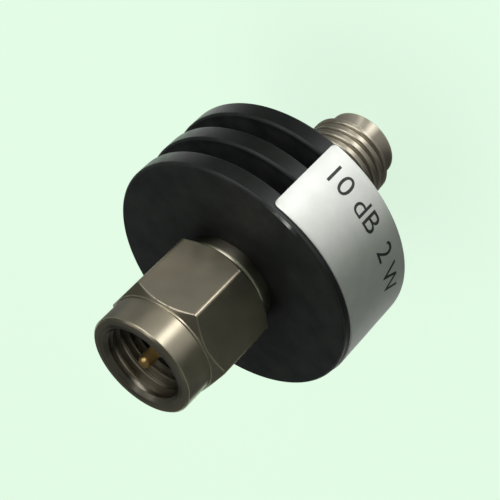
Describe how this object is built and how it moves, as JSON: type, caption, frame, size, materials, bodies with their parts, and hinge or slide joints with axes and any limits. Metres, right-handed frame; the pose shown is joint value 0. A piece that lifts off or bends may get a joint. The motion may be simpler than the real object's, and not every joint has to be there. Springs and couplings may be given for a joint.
{
  "type": "coaxial fixed attenuator",
  "caption": "In-line coaxial attenuator: finned round black body with a hex coupling-nut plug at one end, a threaded jack at the other and a wrapped label.",
  "frame": {"origin": "centre of the jack's end face, on the axis, where the part stands", "axes": "+Z along the common axis of both connectors, from the jack's end up to the coupling nut's mouth"},
  "size_m": [0.0183, 0.0183, 0.0251],
  "materials": {
    "black_anodised": "satin black anodised, turned",
    "stainless": "passivated, turned",
    "nut_steel": "passivated, milled flats",
    "spring_bronze": "plain spring temper",
    "silicone": "moulded",
    "ptfe": "machined, waxy",
    "gold_contact": "gold plated",
    "carrier_brass": "turned",
    "alumina": "fired, unglazed",
    "label_film": "satin printed film"
  },
  "bodies": {
    "body": {"heatsink_body": "black_anodised", "male_shell": "stainless", "male_dielectric": "ptfe", "male_pin": "gold_contact", "retaining_ring": "spring_bronze", "gasket": "silicone", "female_shell": "stainless", "female_dielectric": "ptfe", "female_socket": "gold_contact", "chip_carrier": "carrier_brass", "attenuator_chip": "alumina", "input_clip": "gold_contact", "output_clip": "gold_contact", "label": "label_film"},
    "nut": {"coupling_nut": "nut_steel"}
  },
  "joints": [
    {"name": "nut_spin", "type": "hinge", "parent": "body", "child": "nut", "pos_m": [0, 0, 0.0212], "axis": [0, 0, 1], "continuous": true}
  ]
}
